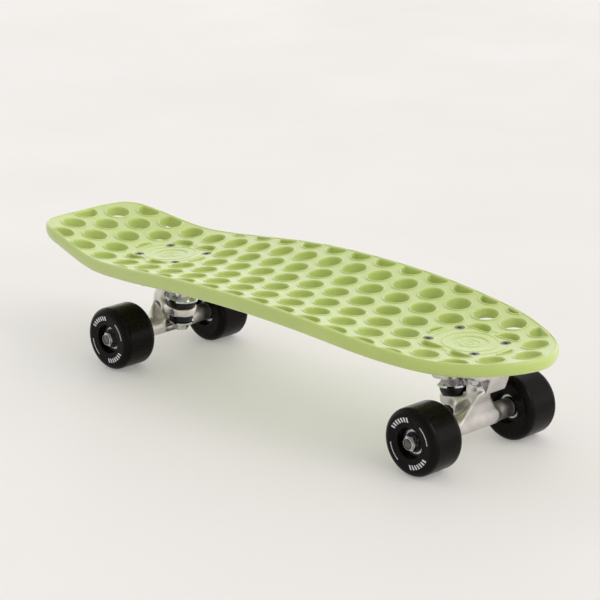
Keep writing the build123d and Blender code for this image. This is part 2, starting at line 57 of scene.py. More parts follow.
MIDDLE_X = 27.3              # middle of the wheelbase, in the row frame

# Deck: centreline of the top and half of the outline, both from the wheelbase middle
TOP_LINE = [
    (-342.0, 121.3), (-290.0, 112.2), (-260.0, 106.3), (-232.0, 102.3), (-198.0, 102.5),
    (-160.0, 104.9), (-100.0, 109.7), (0.0, 112.9), (100.0, 109.5), (150.0, 105.5),
    (195.0, 102.9), (232.0, 102.6), (262.0, 105.8), (288.0, 109.7),
]
OUTLINE = [
    (-340.2, 18.0), (-337.5, 36.0), (-331.0, 51.0), (-317.0, 61.5), (-295.0, 67.0),
    (-250.0, 74.4), (-200.0, 80.8), (-130.0, 87.6), (-60.0, 91.6), (0.0, 92.3), (60.0, 92.3),
    (120.0, 91.0), (160.0, 87.8), (195.0, 81.3), (225.0, 70.0), (248.0, 56.5), (266.0, 41.0),
    (279.0, 23.0), (285.0, 8.0),
]
DECK_TAIL_X = -313.3
DECK_NOSE_X = 313.3
CONCAVE = 0.00099            # rise of the top with the square of the distance from the centreline
RIM_POINTS = 440             # in the mesh's rim loops
FINE_RIM_POINTS = 4000       # in the outline that distances are measured to
OUTLINE_SAMPLES = 8000       # for spacing points evenly along the outline

# Depth of the rim's side wall along the deck, from the wheelbase middle
SKIRT_LINE = [(-345.0, 11.6), (-270.0, 12.4), (-150.0, 13.3), (100.0, 13.3), (190.0, 12.2),
              (290.0, 10.8)]

# Web thickness along the deck, from the wheelbase middle. The wells that show the floor through
# them set it: it is deep in the middle and thinner at both ends.
WEB_LINE = [(-345.0, 9.1), (-312.0, 9.0), (-288.0, 10.3), (-263.0, 9.0), (-232.0, 10.4),
            (-205.0, 11.8), (-150.0, 12.4), (0.0, 12.6), (110.0, 12.0), (160.0, 8.4),
            (215.0, 8.6), (290.0, 9.4)]

# Wells on a triangular lattice
WELL_R = 11.6
WELL_PITCH = 33.17
WELL_ROW = WELL_PITCH * math.sqrt(3) / 2
WELL_ORIGIN_X = MIDDLE_X + 0.5
WELL_MARGIN = 5.4            # least distance of a well's wall from the outline
WELL_REACH = 23.0            # centres nearer than this to the outline or a pad are cut back
WELL_LAST_ROW = 3
WELL_COLUMNS = 11            # on each side of the origin
WELL_MIN_DEPTH = 1.2         # how far its deepest point lies inside the wall
WELL_MIN_AREA = 22.0
WELL_CORNER_R = 1.8
WELL_POINTS = 56

# Truck pads, badges and bolts
PAD_CELLS = 6
PAD_HALF_LENGTH = 40.0
PAD_HALF_WIDTH = 29.0
PAD_CORNER_R = 9.0
PAD_BOTTOM_Z = 86.0
PAD_TOP_Z = 97.0
BADGE_R = 16.5
BADGE_DEPTH = 0.7
RING_MARKS = [(25.0, 0.0, 1.0), (34.0, 0.0, 1.0), (9.0, -BADGE_DEPTH, 0.6),
              (3.5, -BADGE_DEPTH, 0.6)]      # radius, base height and share of the bead's height
BOLT_CENTRE = WHEELBASE / 2 - 7.4
BOLT_SPACING_X = 54.0
BOLT_SPACING_Y = 41.3
BOLT_HEAD_R = 4.75
BOLT_R = 2.4
BOLT_END_Z = 74.2
BOLT_PITCH = 0.8
CROSS_TURN = 0.4             # radians
CROSS_ARM = 3.1
CROSS_HALF_WIDTH = 0.85

# Wheels
WHEEL_Y = 62.55
WHEEL_HALF_WIDTH = 19.0
AXLE_Z = 31.05

# Printed marks on a wheel's face; angles in radians
PRINT_THICK = 0.06
PRINT_SUNK = 0.05
BAR_RADIUS = 21.3
BAR_TALL = 4.2
BAR_STEP = 0.155
BAR_HALF = 0.038
BAR_LEAN = 0.03
DASH_RADIUS = 21.8
DASH_TALL = 1.1
DASH_STEP = 0.062
DASH_HALF = 0.02

# Trucks, each in its own frame: origin on the floor under the axle, +X outboard, +Z up
STEER_ANGLE = 35.3           # steering axis above the horizontal
KINGPIN_TILT = 7.0
RING_CENTRE = np.array([-18.5, 0.0, 49.0])
RING_R = 15.0
RING_HALF_T = 4.3
UPPER_WASHER_S = 13.6        # along the kingpin from the ring's centre
LOWER_WASHER_S = -11.8
BOSS_S = 19.0
BUSHING_GAP = 0.12
BUSHING_BORE_R = 4.95
BUSHING_FLARE = 1.5          # the bore opens towards the ring, which leans
PIVOT_MOUTH = 46.1           # along the steering axis from the ring's centre
PLATE_X = -7.4
PLATE_BOTTOM_Z = 80.0
AXLE_R = 3.97
HANGER_HALF_LENGTH = 49.55
CAST_STEP = 0.95             # cell size of the castings' meshes

# Hanger: the barrel's radius at distances from the middle, and the outlines of the web seen from
# the side, from above and along the board, and of the pivot arm's half section
BARREL_AT = (26, 45.5, HANGER_HALF_LENGTH)
BARREL_R = (9.0, 8.5, 8.2)
WEB_SIDE = [(-22, 45.0), (-14, 43.5), (-7, 35), (-5, 26), (0, 22.4), (7, 25.5), (9, 34),
            (11.5, 50), (15.5, 61), (9, 66), (-1, 57), (-9, 52.8), (-22, 52.8)]
WEB_PLAN = [(-24, -13), (-24, 13), (-8, 14), (2, 26), (16, 26), (16, -26), (2, -26), (-8, -14)]
WEB_FRONT = [(-25, 15), (25, 15), (25, 36), (18, 45), (12, 53), (7, 62), (6, 72), (-6, 72),
             (-7, 62), (-12, 53), (-18, 45), (-25, 36)]
ARM_SECTION = [(12, -9), (12, 7.6), (28, 7.2), (43, 6.2), (44.5, 4.7), (48.5, 4.7), (51.2, 2.4),
               (51.6, -9)]
POCKET_CENTRE = (1.0, 16.5, 47.5)
POCKET_HALF = (12.5, 7.5, 4.6)             # along its length, across the truck, and its height
POCKET_LEAN = math.radians(48)
RING_BORE_R = 7.6
# Room kept clear round the kingpin for the bushings, washers and boss: radius, start and end
KINGPIN_ROOM = ((14.8, -26.3, -RING_HALF_T), (16.4, RING_HALF_T, 24.3),
                (19.6, UPPER_WASHER_S - 5.0, 34.0))
HANGER_BOX = ((-36, -52, 20), (33, 52, 84))

# Baseplate: plate, kingpin boss, pivot housing and rib
PLATE_TOP_Z = 86.0
PLATE_HALF = (30, 18)                      # to the centres of the rounded corners
PLATE_CORNER_R = 9
BOSS_OFFSET = 1.2
BOSS_HALF = (14.3, 17)
BOSS_CORNER_R = 7
BOSS_SLOPE = math.tan(math.radians(6))
HOUSING_DROP = 13.8
HOUSING_RISE = 5.0
HOUSING_HALF_WIDTH = 13
HOUSING_END_X = 34.1
RIB_HALF_WIDTH = 5
# Room for the hanger's arm and for the pivot cup: radius, start and end along the steering axis
PIVOT_ROOM = ((6.5, PIVOT_MOUTH - 8, PIVOT_MOUTH + 7), (7.7, PIVOT_MOUTH - 12, PIVOT_MOUTH - 1))
KINGPIN_HOLE_R = 4.85
KINGPIN_HEAD_R = 7.7
KINGPIN_HEAD_OVER = 11                     # past the boss's lower face
BOLT_HOLE_R = 2.7
NUT_ROOM_R = 5.95
BASEPLATE_BOX = ((-50, -30, 60), (37, 30, 88))

UPPER_BUSHING_R = 14.0
LOWER_BUSHING_R = 11.3
WASHER_GAP = 0.02

# Section across a well's lip: (distance outwards from the wall, height over the top)
WELL_LIP = [(2.0, 0.0), (1.92, 0.45), (1.7, 0.78), (1.25, 0.88), (0.75, 0.78), (0.35, 0.45),
            (0.08, -0.2), (0.0, -1.3)]
# Section across the rim's top edge: (distance inside the outline, height over the top)
RIM_TOP = [(3.1, 0.0), (3.0, 0.35), (2.75, 0.55), (2.2, 0.5), (1.6, 0.15), (1.05, -0.5),
           (0.5, -1.5), (0.15, -2.9), (0.03, -4.8)]
# Section across the rim's lower edge: (distance inside the outline, height over the skirt's foot)
RIM_FOOT = [(0.25, 3.6), (0.7, 1.9), (1.4, 0.6), (2.3, 0.0), (3.8, 0.0), (4.3, 0.4)]
RIM_INNER = 4.7              # where the skirt's inner wall meets the web
# Section across a raised ring: (distance from its middle, height over the face)
BEAD = [(-0.75, 0.0), (-0.45, 0.4), (0.0, 0.55), (0.45, 0.4), (0.75, 0.0)]
# Foot of a well's wall: (distance outwards from the wall, height over the web's underside)
WELL_FOOT = [(0.0, 0.7), (0.35, 0.0)]
# Edge of a badge: (distance outwards from its wall, height over the top)
BADGE_EDGE = [(0.5, 0.0), (0.1, -0.12), (-0.25, -BADGE_DEPTH)]
# Seat of a bolt's head: (distance outwards from the head, height over the top)
BOLT_SEAT = [(1.0, 0.0), (0.6, 0.16), (0.25, 0.05), (0.1, -0.3), (0.1, -1.8)]
# Section down a truck pad's wall: (distance inside the outline, height above the floor)
PAD_WALL = [(1.6, PAD_BOTTOM_Z), (0.9, PAD_BOTTOM_Z + 0.2), (0.5, PAD_BOTTOM_Z + 1),
            (0.0, PAD_TOP_Z)]


# ---- Curves ---------------------------------------------------------------------------------
def spline(knots, values, closed=False):
    """Cubic spline through values at the knots, as a function of an array of places."""
    knots = np.asarray(knots, float)
    values = np.asarray(values, float).reshape(len(knots), -1)
    gaps = np.diff(knots)
    slopes = np.diff(values, axis=0) / gaps[:, None]
    last = len(knots) - 1
    system = np.zeros((last + 1, last + 1))
    bends = np.zeros_like(values)
    for i in range(1, last):
        system[i, i - 1:i + 2] = gaps[i - 1], 2 * (gaps[i - 1] + gaps[i]), gaps[i]
        bends[i] = 6 * (slopes[i] - slopes[i - 1])
    system[last, last] = 1
    if closed:
        system[last, 0] = -1
        system[0, [0, 1, last - 1]] = 2 * (gaps[-1] + gaps[0]), gaps[0], gaps[-1]
        bends[0] = 6 * (slopes[0] - slopes[-1])
    else:
        system[0, 0] = 1
    curves = np.linalg.solve(system, bends)

    def at(places):
        places = np.asarray(places, float).ravel()
        i = np.clip(np.searchsorted(knots, places, "right") - 1, 0, last - 1)
        b = ((places - knots[i]) / gaps[i])[:, None]
        a = 1 - b
        bow = (a**3 - a) * curves[i] + (b**3 - b) * curves[i + 1]
        return a * values[i] + b * values[i + 1] + bow * gaps[i, None] ** 2 / 6

    return at


top_height = spline(*zip(*[(MIDDLE_X + x, z) for x, z in TOP_LINE]))
web_depth = spline(*zip(*[(MIDDLE_X + x, depth) for x, depth in WEB_LINE]))
skirt_depth = spline(*zip(*[(MIDDLE_X + x, depth) for x, depth in SKIRT_LINE]))


def top(xy):
    """Height of the deck's top over each point."""
    xy = np.atleast_2d(xy)
    return top_height(xy[:, 0])[:, 0] + CONCAVE * xy[:, 1] ** 2


def web(xy):
    """Thickness of the web under each point."""
    return web_depth(np.atleast_2d(xy)[:, 0])[:, 0]


def trace_outline(count):
    """Points evenly spaced along the outline, and the inward direction at each."""
    left = [(MIDDLE_X + x, y) for x, y in OUTLINE]
    right = [(x, -y) for x, y in reversed(left)]
    corners = np.array([(DECK_TAIL_X, 0), *left, (DECK_NOSE_X, 0), *right, (DECK_TAIL_X, 0)])
    knots = np.append(0, np.cumsum(np.linalg.norm(np.diff(corners, axis=0), axis=1)))
    curve = spline(knots, corners, closed=True)
    samples = np.linspace(0, knots[-1], OUTLINE_SAMPLES)
    run = np.append(0, np.cumsum(np.linalg.norm(np.diff(curve(samples), axis=0), axis=1)))
    even = np.interp(np.arange(count) * run[-1] / count, run, samples)
    step = 0.5
    tangent = curve((even + step) % knots[-1]) - curve((even - step) % knots[-1])
    tangent /= np.linalg.norm(tangent, axis=1)[:, None]
    return curve(even), np.column_stack([tangent[:, 1], -tangent[:, 0]])


rim, rim_inward = trace_outline(RIM_POINTS)
fine_rim, fine_inward = trace_outline(FINE_RIM_POINTS)


def edge_distance(xy, near=None):
    """How far each point lies inside the outline; near limits the search to part of it."""
    part = slice(None) if near is None else near
    points, inward = fine_rim[part], fine_inward[part]
    gap = np.atleast_2d(xy)[:, None, :] - points[None]
    nearest = np.argmin((gap**2).sum(2), axis=1)
    rows = np.arange(len(nearest))
    return (gap[rows, nearest] * inward[nearest]).sum(1)


pad_centres = [WELL_ORIGIN_X + side * PAD_CELLS * WELL_PITCH for side in (-1, 1)]
bolt_places = [(MIDDLE_X + side * BOLT_CENTRE + dx, dy)
               for side in (-1, 1)
               for dx in (-BOLT_SPACING_X / 2, BOLT_SPACING_X / 2)
               for dy in (-BOLT_SPACING_Y / 2, BOLT_SPACING_Y / 2)]


def pad_distance(xy):
    """Distance outside the nearer truck pad's rounded rectangle, negative inside it."""
    found = []
    for centre in pad_centres:
        x = np.abs(xy[:, 0] - centre) - PAD_HALF_LENGTH + PAD_CORNER_R
        y = np.abs(xy[:, 1]) - PAD_HALF_WIDTH + PAD_CORNER_R
        outside = np.hypot(np.maximum(x, 0), np.maximum(y, 0))
        found.append(outside + np.minimum(np.maximum(x, y), 0) - PAD_CORNER_R)
    return np.minimum(*found)


def both(a, b, radius):
    """Distance to the overlap of two shapes, with the corners rounded to this radius."""
    corner = np.hypot(np.maximum(a + radius, 0), np.maximum(b + radius, 0))
    return np.minimum(-radius, np.maximum(a, b)) + corner


# ---- Wells ----------------------------------------------------------------------------------
class Well:
    """One well: a circle, cut back where it comes near the outline or a truck pad."""

    def __init__(self, centre):
        self.centre = np.array(centre)
        self.near = np.flatnonzero(np.hypot(*(fine_rim - self.centre).T) < 2 * WELL_REACH)
        rim_gap = edge_distance(self.centre)[0]
        self.by_rim = rim_gap < WELL_REACH and len(self.near) > 0
        self.by_pad = pad_distance(self.centre[None])[0] < WELL_REACH
        self.middle = self.deepest()

    def distance(self, xy):
        """Distance of each point outside this well's wall, negative inside it."""
        found = np.hypot(*(xy - self.centre).T) - WELL_R
        if self.by_rim:
            found = both(found, WELL_MARGIN - edge_distance(xy, self.near), WELL_CORNER_R)
        if self.by_pad:
            found = both(found, -pad_distance(xy), WELL_CORNER_R)
        return found

    def deepest(self):
        """The point deepest inside the well."""
        if not (self.by_rim or self.by_pad):
            return self.centre
        steps = np.linspace(-WELL_R, WELL_R, 33)
        grid = self.centre + np.array([(x, y) for x in steps for y in steps])
        return grid[np.argmin(self.distance(grid))]

    def loop(self, offset):
        """The wall's outline, moved outwards by the offset."""
        angles = np.arange(WELL_POINTS) * 2 * math.pi / WELL_POINTS
        ways = np.column_stack([np.cos(angles), np.sin(angles)])
        low = np.zeros(WELL_POINTS)
        high = np.full(WELL_POINTS, 2 * WELL_R + offset + 4)
        for _ in range(24):
            half = (low + high) / 2
            inside = self.distance(self.middle + ways * half[:, None]) < offset
            low = np.where(inside, half, low)
            high = np.where(inside, high, half)
        return self.middle + ways * high[:, None]


def loop_area(loop):
    """Area inside a loop of points."""
    x, y = loop.T
    return abs(np.dot(x, np.roll(y, -1)) - np.dot(y, np.roll(x, -1))) / 2


def make_wells():
    """Every well whose opening is large enough."""
    found = []
    for row in range(-WELL_LAST_ROW, WELL_LAST_ROW + 1):
        shift = WELL_PITCH / 2 if row % 2 else 0
        for column in range(-WELL_COLUMNS, WELL_COLUMNS):
            centre = (WELL_ORIGIN_X + shift + column * WELL_PITCH, row * WELL_ROW)
            if edge_distance(centre)[0] < WELL_MARGIN - WELL_R:
                continue
            well = Well(centre)
            if well.distance(well.middle[None])[0] > -WELL_MIN_DEPTH:
                continue
            if loop_area(well.loop(0)) > WELL_MIN_AREA:
                found.append(well)
    return found


wells = make_wells()


# ---- Mesh work ------------------------------------------------------------------------------
class Shell:
    """Collects points and faces in millimetres, and makes them one mesh in metres."""

    def __init__(self):
        self.points = []
        self.faces = []

    def add(self, xy, z):
        """Add points and return their numbers."""
        first = len(self.points)
        self.points.extend(np.column_stack([xy, np.broadcast_to(z, len(xy))]).tolist())
        return list(range(first, len(self.points)))

    def bridge(self, one, two):
        """Join two loops of the same length with a band of faces."""
        for i in range(len(one)):
            j = (i + 1) % len(one)
            self.faces.append((one[i], one[j], two[j], two[i]))

    def chain(self, loops):
        """Join each loop to the next."""
        for one, two in zip(loops, loops[1:]):
            self.bridge(one, two)

    def mesh(self, name, sharp=35):
        """The finished object, with faces turned outwards and sharp edges kept crisp."""
        work = bmesh.new()
        placed = [work.verts.new(Vector(p) * MM) for p in self.points]
        for face in self.faces:
            work.faces.new([placed[i] for i in face])
        bmesh.ops.recalc_face_normals(work, faces=work.faces)
        data = bpy.data.meshes.new(name)
        work.to_mesh(data)
        work.free()
        return place(name, data, sharp)


def place(name, data, sharp=35):
    """An object for this mesh, smooth except across edges sharper than the angle."""
    data.shade_smooth()
    data.set_sharp_from_angle(angle=math.radians(sharp))
    piece = bpy.data.objects.new(name, data)
    bpy.context.scene.collection.objects.link(piece)
    return piece


def fill(shell, outer, holes, extra, extra_edges, heights):
    """Triangulate between the outer loop and the holes, through the extra points."""
    numbers = list(outer)
    for hole in holes:
        numbers.extend(hole)
    owner = [0] * len(outer)
    for count, hole in enumerate(holes):
        owner.extend([count + 1] * len(hole))
    flat = [Vector(shell.points[i][:2]) for i in numbers]
    edges = []
    start = 0
    for loop in [outer, *holes]:
        size = len(loop)
        edges.extend((start + i, start + (i + 1) % size) for i in range(size))
        start += size
    edges.extend((start + a, start + b) for a, b in extra_edges)
    added = shell.add(extra, heights)
    numbers.extend(added)
    owner.extend([-1] * len(added))
    flat.extend(Vector(p) for p in extra)
    result = geometry.delaunay_2d_cdt(flat, edges, [], 0, 1e-5)
    origins = [min(o) for o in result[3]]
    centres = []
    corners = []
    for triangle in result[2]:
        picked = [origins[i] for i in triangle]
        owners = {owner[i] for i in picked}
        if len(set(picked)) < 3 or (len(owners) == 1 and owners.pop() > 0):
            continue
        corners.append([numbers[i] for i in picked])
        centres.append(sum((flat[i] for i in picked), Vector((0, 0))) / 3)
    limit = min(edge_distance([shell.points[i][:2] for i in outer[:20]]))
    inside = edge_distance(np.array(centres)) > limit - 0.3
    shell.faces.extend(tuple(c) for c, keep in zip(corners, inside) if keep)


def clear_points(points, well_gap, edge_gap):
    """Which of these points are clear of the wells and the outline."""
    keep = edge_distance(points) > edge_gap
    for well in wells:
        close = np.flatnonzero(np.hypot(*(points - well.centre).T) < 2 * WELL_R + well_gap)
        if len(close):
            keep[close] &= well.distance(points[close]) > well_gap
    return keep


def grid_points(pitch):
    """A triangular grid over the whole deck."""
    found = []
    for j, y in enumerate(np.arange(-96, 96, pitch * 0.866)):
        for x in np.arange(DECK_TAIL_X, DECK_NOSE_X, pitch):
            found.append((x + (j % 2) * pitch / 2, y))
    return np.array(found)


def field_points():
    """Points, joining edges and heights over the top for the deck's open face."""
    points = []
    edges = []
    heights = []
    marks = [(centre, *mark) for centre in pad_centres for mark in RING_MARKS]
    for x, radius, base, share in marks:
        count = max(24, int(2 * math.pi * radius / 1.5))
        angles = np.arange(count) * 2 * math.pi / count
        for across, height in BEAD:
            ring = np.column_stack([x + (radius + across) * np.cos(angles),
                                    (radius + across) * np.sin(angles)])
            keep = clear_points(ring, WELL_LIP[0][0] + 0.4, RIM_TOP[0][0] + 0.4)
            for bolt in bolt_places:
                keep &= np.hypot(*(ring - bolt).T) > BOLT_HEAD_R + 1.4
            numbers = np.full(count, -1)
            numbers[keep] = len(points) + np.arange(keep.sum())
            points.extend(ring[keep])
            heights.extend([base + height * share] * int(keep.sum()))
            for i in range(count):
                j = (i + 1) % count
                if keep[i] and keep[j]:
                    edges.append((int(numbers[i]), int(numbers[j])))
    for centre in pad_centres:
        count = 96
        angles = np.arange(count) * 2 * math.pi / count
        for outside, height in BADGE_EDGE:
            first = len(points)
            points.extend(np.column_stack([centre + (BADGE_R + outside) * np.cos(angles),
                                           (BADGE_R + outside) * np.sin(angles)]))
            heights.extend([height] * count)
            edges.extend((first + i, first + (i + 1) % count) for i in range(count))
    grid = grid_points(4.5)
    keep = clear_points(grid, WELL_LIP[0][0] + 1.0, RIM_TOP[0][0] + 1.0)
    for bolt in bolt_places:
        keep &= np.hypot(*(grid - bolt).T) > BOLT_HEAD_R + 2.0
    base = np.zeros(len(grid))
    for x, radius, *_ in marks:
        keep &= np.abs(np.hypot(*(grid - (x, 0)).T) - radius) > 1.6
    for centre in pad_centres:
        reach = np.hypot(*(grid - (centre, 0)).T)
        keep &= np.abs(reach - BADGE_R) > 1.2
        base[reach < BADGE_R] = -BADGE_DEPTH
    points.extend(grid[keep])
    heights.extend(base[keep])
    return np.array(points), edges, np.array(heights)


def make_deck():
    """The moulded deck: rim, wells with raised lips, face, underside and truck pads."""
    shell = Shell()
    rim_loops = []
    for inside, height in RIM_TOP:
        loop = rim + rim_inward * inside
        rim_loops.append(shell.add(loop, top(loop) + height))
    for inside, height in RIM_FOOT:
        loop = rim + rim_inward * inside
        foot = top(loop) - skirt_depth(loop[:, 0])[:, 0]
        rim_loops.append(shell.add(loop, foot + height))
    loop = rim + rim_inward * RIM_INNER
    rim_loops.append(shell.add(loop, top(loop) - web(loop)))
    shell.chain(rim_loops)

    upper = []
    lower = []
    for well in wells:
        loops = []
        for outside, height in WELL_LIP:
            loop = well.loop(outside)
            loops.append(shell.add(loop, top(loop) + height))
        for outside, height in WELL_FOOT:
            loop = well.loop(outside)
            loops.append(shell.add(loop, top(loop) - web(loop) + height))
        shell.chain(loops)
        upper.append(loops[0])
        lower.append(loops[-1])
    for bolt in bolt_places:
        angles = np.arange(40) * 2 * math.pi / 40
        ring = np.column_stack([np.cos(angles), np.sin(angles)])
        loops = []
        for outside, height in BOLT_SEAT:
            loop = np.array(bolt) + ring * (BOLT_HEAD_R + outside)
            loops.append(shell.add(loop, top(loop) + height))
        shell.chain(loops)
        shell.faces.append(tuple(loops[-1]))
        upper.append(loops[0])

    points, edges, heights = field_points()
    fill(shell, rim_loops[0], upper, points, edges, top(points) + heights)
    under = grid_points(7.0)
    under = under[clear_points(under, 1.5, RIM_INNER + 1.5)]
    fill(shell, rim_loops[-1], lower, under, [], top(under) - web(under))

    for centre in pad_centres:
        loops = []
        for inside, z in PAD_WALL:
            loop = rounded_rectangle(centre, PAD_HALF_LENGTH - inside, PAD_HALF_WIDTH - inside,
                                     PAD_CORNER_R - inside)
            loops.append(shell.add(loop, z))
        shell.chain(loops)
        shell.faces.append(tuple(loops[0]))
        shell.faces.append(tuple(loops[-1]))
    return shell.mesh("deck_moulding", sharp=50)


def rounded_rectangle(centre_x, half_x, half_y, radius, per_corner=9):
    """Loop round a rectangle with rounded corners."""
    found = []
    for quarter, (sx, sy) in enumerate(((1, 1), (-1, 1), (-1, -1), (1, -1))):
        for step in range(per_corner):
            angle = math.pi / 2 * (quarter + step / (per_corner - 1))
            found.append((centre_x + sx * (half_x - radius) + radius * math.cos(angle),
                          sy * (half_y - radius) + radius * math.sin(angle)))
    return np.array(found)


# ---- Materials ------------------------------------------------------------------------------
def srgb(red, green, blue):
    """Linear colour from eight-bit sRGB."""
    def linear(c):
        c /= 255
        return c / 12.92 if c <= 0.04045 else ((c + 0.055) / 1.055) ** 2.4
    return (linear(red), linear(green), linear(blue), 1.0)


def surface(name, dark, light, patch, rough, grain, bump, metallic=0.0, specular=0.5,
            stretch=(1, 1, 1), depth=0.0002, sheen=0.0, scatter=0.0, glow=0.0):
    """Material with colour patches, uneven roughness and a fine bump. Scales are per metre."""
    material = bpy.data.materials.new(name)
    material.use_nodes = True
    tree = material.node_tree
    shader = tree.nodes["Principled BSDF"]
    shader.inputs["Metallic"].default_value = metallic
    shader.inputs["Specular IOR Level"].default_value = specular
    shader.inputs["Sheen Weight"].default_value = sheen
    shader.inputs["Sheen Roughness"].default_value = 0.4
    shader.inputs["Subsurface Weight"].default_value = scatter
    shader.inputs["Subsurface Scale"].default_value = 0.006
    # Emission: a surface's own glow; only the floor has any, as painted fill light that lightens
    # its shadows
    shader.inputs["Emission Color"].default_value = (1, 0.98, 0.94, 1)
    shader.inputs["Emission Strength"].default_value = glow
    place_node = tree.nodes.new("ShaderNodeTexCoord")
    mapping = tree.nodes.new("ShaderNodeMapping")
    mapping.inputs["Scale"].default_value = stretch
    tree.links.new(place_node.outputs["Object"], mapping.inputs["Vector"])

    def noise(scale, detail):
        node = tree.nodes.new("ShaderNodeTexNoise")
        node.inputs["Scale"].default_value = scale
        node.inputs["Detail"].default_value = detail
        tree.links.new(mapping.outputs["Vector"], node.inputs["Vector"])
        return node.outputs["Fac"]

    ramp = tree.nodes.new("ShaderNodeValToRGB")
    ramp.color_ramp.elements[0].position = 0.35
    ramp.color_ramp.elements[0].color = dark
    ramp.color_ramp.elements[1].position = 0.65
    ramp.color_ramp.elements[1].color = light
    tree.links.new(noise(patch, 3), ramp.inputs["Fac"])
    tree.links.new(ramp.outputs["Color"], shader.inputs["Base Color"])
    spread = tree.nodes.new("ShaderNodeMapRange")
    spread.inputs["From Min"].default_value = 0.3
    spread.inputs["From Max"].default_value = 0.7
    spread.inputs["To Min"].default_value = rough[0]
    spread.inputs["To Max"].default_value = rough[1]
    tree.links.new(noise(patch * 2.7, 4), spread.inputs["Value"])
    tree.links.new(spread.outputs["Result"], shader.inputs["Roughness"])
    relief = tree.nodes.new("ShaderNodeBump")
    relief.inputs["Strength"].default_value = bump
    relief.inputs["Distance"].default_value = depth
    tree.links.new(noise(grain, 2), relief.inputs["Height"])
    tree.links.new(relief.outputs["Normal"], shader.inputs["Normal"])
    return material


def dress(piece, material):
    """Give the whole piece one material."""
    piece.data.materials.clear()
    piece.data.materials.append(material)
    for face in piece.data.polygons:
        face.material_index = 0


deck_plastic = surface("deck_plastic", srgb(184, 203, 110), srgb(190, 209, 116), 14,
                       (0.34, 0.46), 900, 0.35, depth=0.00025, specular=0.7, sheen=0.7,
                       scatter=0.2)
cast_metal = surface("cast_aluminium", srgb(206, 201, 198), srgb(228, 223, 220), 60,
                     (0.3, 0.46), 1500, 0.5, metallic=1.0)
wheel_rubber = surface("wheel_urethane", srgb(9, 5, 4), srgb(13, 8, 6), 40,
                       (0.2, 0.32), 700, 0.12, specular=0.1)
print_ink = surface("print_ink", srgb(205, 210, 214), srgb(226, 229, 231), 400,
                    (0.45, 0.6), 2500, 0.2)
bushing_rubber = surface("bushing_urethane", srgb(9, 9, 9), srgb(16, 15, 15), 120,
                         (0.3, 0.45), 1200, 0.2, specular=0.35)
pivot_rubber = surface("pivot_urethane", srgb(14, 14, 14), srgb(24, 23, 22), 150,
                       (0.4, 0.55), 1200, 0.2, specular=0.3)
bright_steel = surface("bearing_steel", srgb(168, 170, 172), srgb(206, 207, 208), 300,
                       (0.16, 0.28), 2500, 0.15, metallic=1.0)
axle_steel = surface("axle_steel", srgb(78, 76, 74), srgb(112, 110, 107), 180,
                     (0.25, 0.4), 2500, 0.3, metallic=1.0, stretch=(1, 0.2, 1))
zinc = surface("zinc", srgb(176, 178, 178), srgb(214, 214, 210), 140,
               (0.2, 0.36), 1800, 0.25, metallic=1.0)
chrome = surface("washer_chrome", srgb(196, 200, 202), srgb(224, 226, 227), 160,
                 (0.08, 0.18), 1500, 0.1, metallic=1.0)
black_oxide = surface("black_oxide", srgb(100, 100, 96), srgb(134, 133, 128), 500,
                      (0.3, 0.46), 2500, 0.3, metallic=1.0)
# Dark nylon: the own colour of the wheels' cores and the bearings' shields, and also painted shade
# in the bolts' cross recesses
dark_nylon_and_recess_shade = surface("nylon_dark_and_recess_shade", srgb(16, 16, 17), srgb(30, 30, 31), 300,
                     (0.4, 0.55), 2000, 0.25, specular=0.35)
insert_nylon = surface("nylon_insert", srgb(22, 22, 24), srgb(40, 40, 42), 400,
                     (0.35, 0.5), 2000, 0.2)
SLOT_MATERIALS = {
    "deck_plastic": deck_plastic, "black_oxide": black_oxide, "zinc": zinc,
    "cast_aluminium": cast_metal, "pivot_urethane": pivot_rubber,
    "kingpin_steel": zinc, "bushing_urethane": bushing_rubber, "washer_chrome": chrome,
    "axle_steel": axle_steel, "nylon_insert": insert_nylon, "wheel_urethane": wheel_rubber,
    "core_nylon": dark_nylon_and_recess_shade, "bearing_steel": bright_steel, "shield_dark": dark_nylon_and_recess_shade,
}
for part in frame["record"]["subparts"]:
    dress(frame["nodes"][part["node"]], SLOT_MATERIALS[part["material_slot"]])

# ---- Deck -----------------------------------------------------------------------------------
deck = make_deck()
dress(deck, deck_plastic)
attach(deck, "deck")
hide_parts("deck")


# ---- Cast truck pieces ----------------------------------------------------------------------
STEER_WAY = np.array([math.cos(math.radians(STEER_ANGLE)), 0,
                      math.sin(math.radians(STEER_ANGLE))])
KINGPIN_WAY = np.array([-math.sin(math.radians(KINGPIN_TILT)), 0,
                        math.cos(math.radians(KINGPIN_TILT))])


def along(points, way):
    """Distance of each point along an axis through the ring's centre, and away from it."""
    reach = points - RING_CENTRE
    s = reach @ way
    return s, np.linalg.norm(reach - s[:, None] * way, axis=1)


def polygon(x, y, corners):
    """Distance of each point outside a polygon, negative inside it."""
    best = np.full(len(x), np.inf)
    inside = np.zeros(len(x), bool)
    for (ax, ay), (bx, by) in zip(corners, corners[1:] + corners[:1]):
        ex, ey = bx - ax, by - ay
        share = np.clip(((x - ax) * ex + (y - ay) * ey) / (ex * ex + ey * ey), 0, 1)
        best = np.minimum(best, np.hypot(x - ax - share * ex, y - ay - share * ey))
        if ey:
            inside ^= ((y >= ay) != (y >= by)) & (x < ax + (y - ay) * ex / ey)
    return np.where(inside, -best, best)


def blend_out(a, b, width):
    """Union of two shapes with a fillet."""
    return np.minimum(a, b) - np.maximum(width - np.abs(a - b), 0) ** 2 / (4 * width)


def blend_in(a, b, width):
    """Overlap of two shapes with its edge eased."""
    return np.maximum(a, b) + np.maximum(width - np.abs(a - b), 0) ** 2 / (4 * width)


def cut(shape, tool, width=0.8):
    """The shape with the tool taken out of it."""
    return blend_in(shape, -tool, width)


def between(place, start, end):
    """Distance outside the slab between two places along an axis."""
    return np.abs(place - (start + end) / 2) - (end - start) / 2


